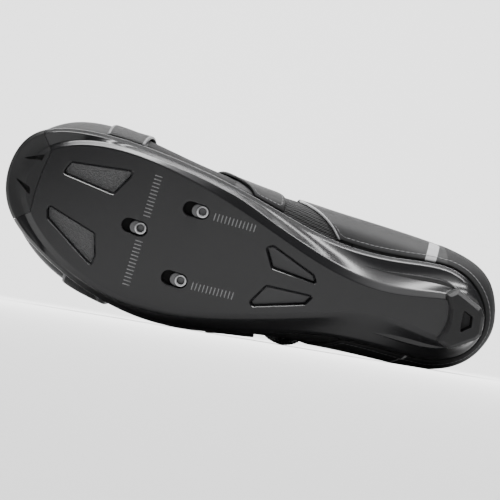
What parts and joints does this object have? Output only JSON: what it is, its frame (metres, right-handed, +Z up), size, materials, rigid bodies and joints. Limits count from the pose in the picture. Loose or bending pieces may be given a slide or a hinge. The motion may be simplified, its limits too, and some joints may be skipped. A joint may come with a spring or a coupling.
{
  "type": "cycling shoe",
  "caption": "Right road cycling shoe with a stiff three-bolt sole, rubber heel and toe pads and a wire-lace dial, lying on its outer side.",
  "frame": {"origin": "centre of the bounding box on the floor that the shoe lies on", "axes": "-X to the toe, -Y the way the sole faces, +Z up from the floor to the shoe's inner side; the sole's own axes are turned by about 7 degrees, because the shoe rests on its sole edge, dial and heel panel"},
  "size_m": [0.2826, 0.1132, 0.1056],
  "materials": {
    "sole_composite": "satin black moulded composite",
    "pad_rubber": "matt",
    "nut_steel": "zinc-grey, slightly brushed",
    "footbed_foam": "fabric-faced foam",
    "upper_microfibre": "matt grained microfibre with mesh zones",
    "panel_microfibre": "smooth, low sheen",
    "strap_microfibre": "textured, low sheen",
    "tongue_mesh": "knitted mesh",
    "dial_plastic": "moulded nylon",
    "lace_wire": "coated wire"
  },
  "bodies": {
    "root": {"outsole": "sole_composite", "toe_pad": "pad_rubber", "heel_pad": "pad_rubber", "cleat_nut_front": "nut_steel", "cleat_nut_inner": "nut_steel", "cleat_nut_outer": "nut_steel", "insole": "footbed_foam", "upper": "upper_microfibre", "quarter_panel": "panel_microfibre", "tongue": "tongue_mesh", "forefoot_strap": "strap_microfibre", "instep_wing_inner": "panel_microfibre", "instep_wing_outer": "panel_microfibre", "dial_base": "dial_plastic", "dial": "dial_plastic", "lace": "lace_wire", "lace_guide_1": "dial_plastic", "lace_guide_2": "dial_plastic", "lace_guide_3": "dial_plastic", "lace_guide_4": "dial_plastic"}
  },
  "joints": []
}
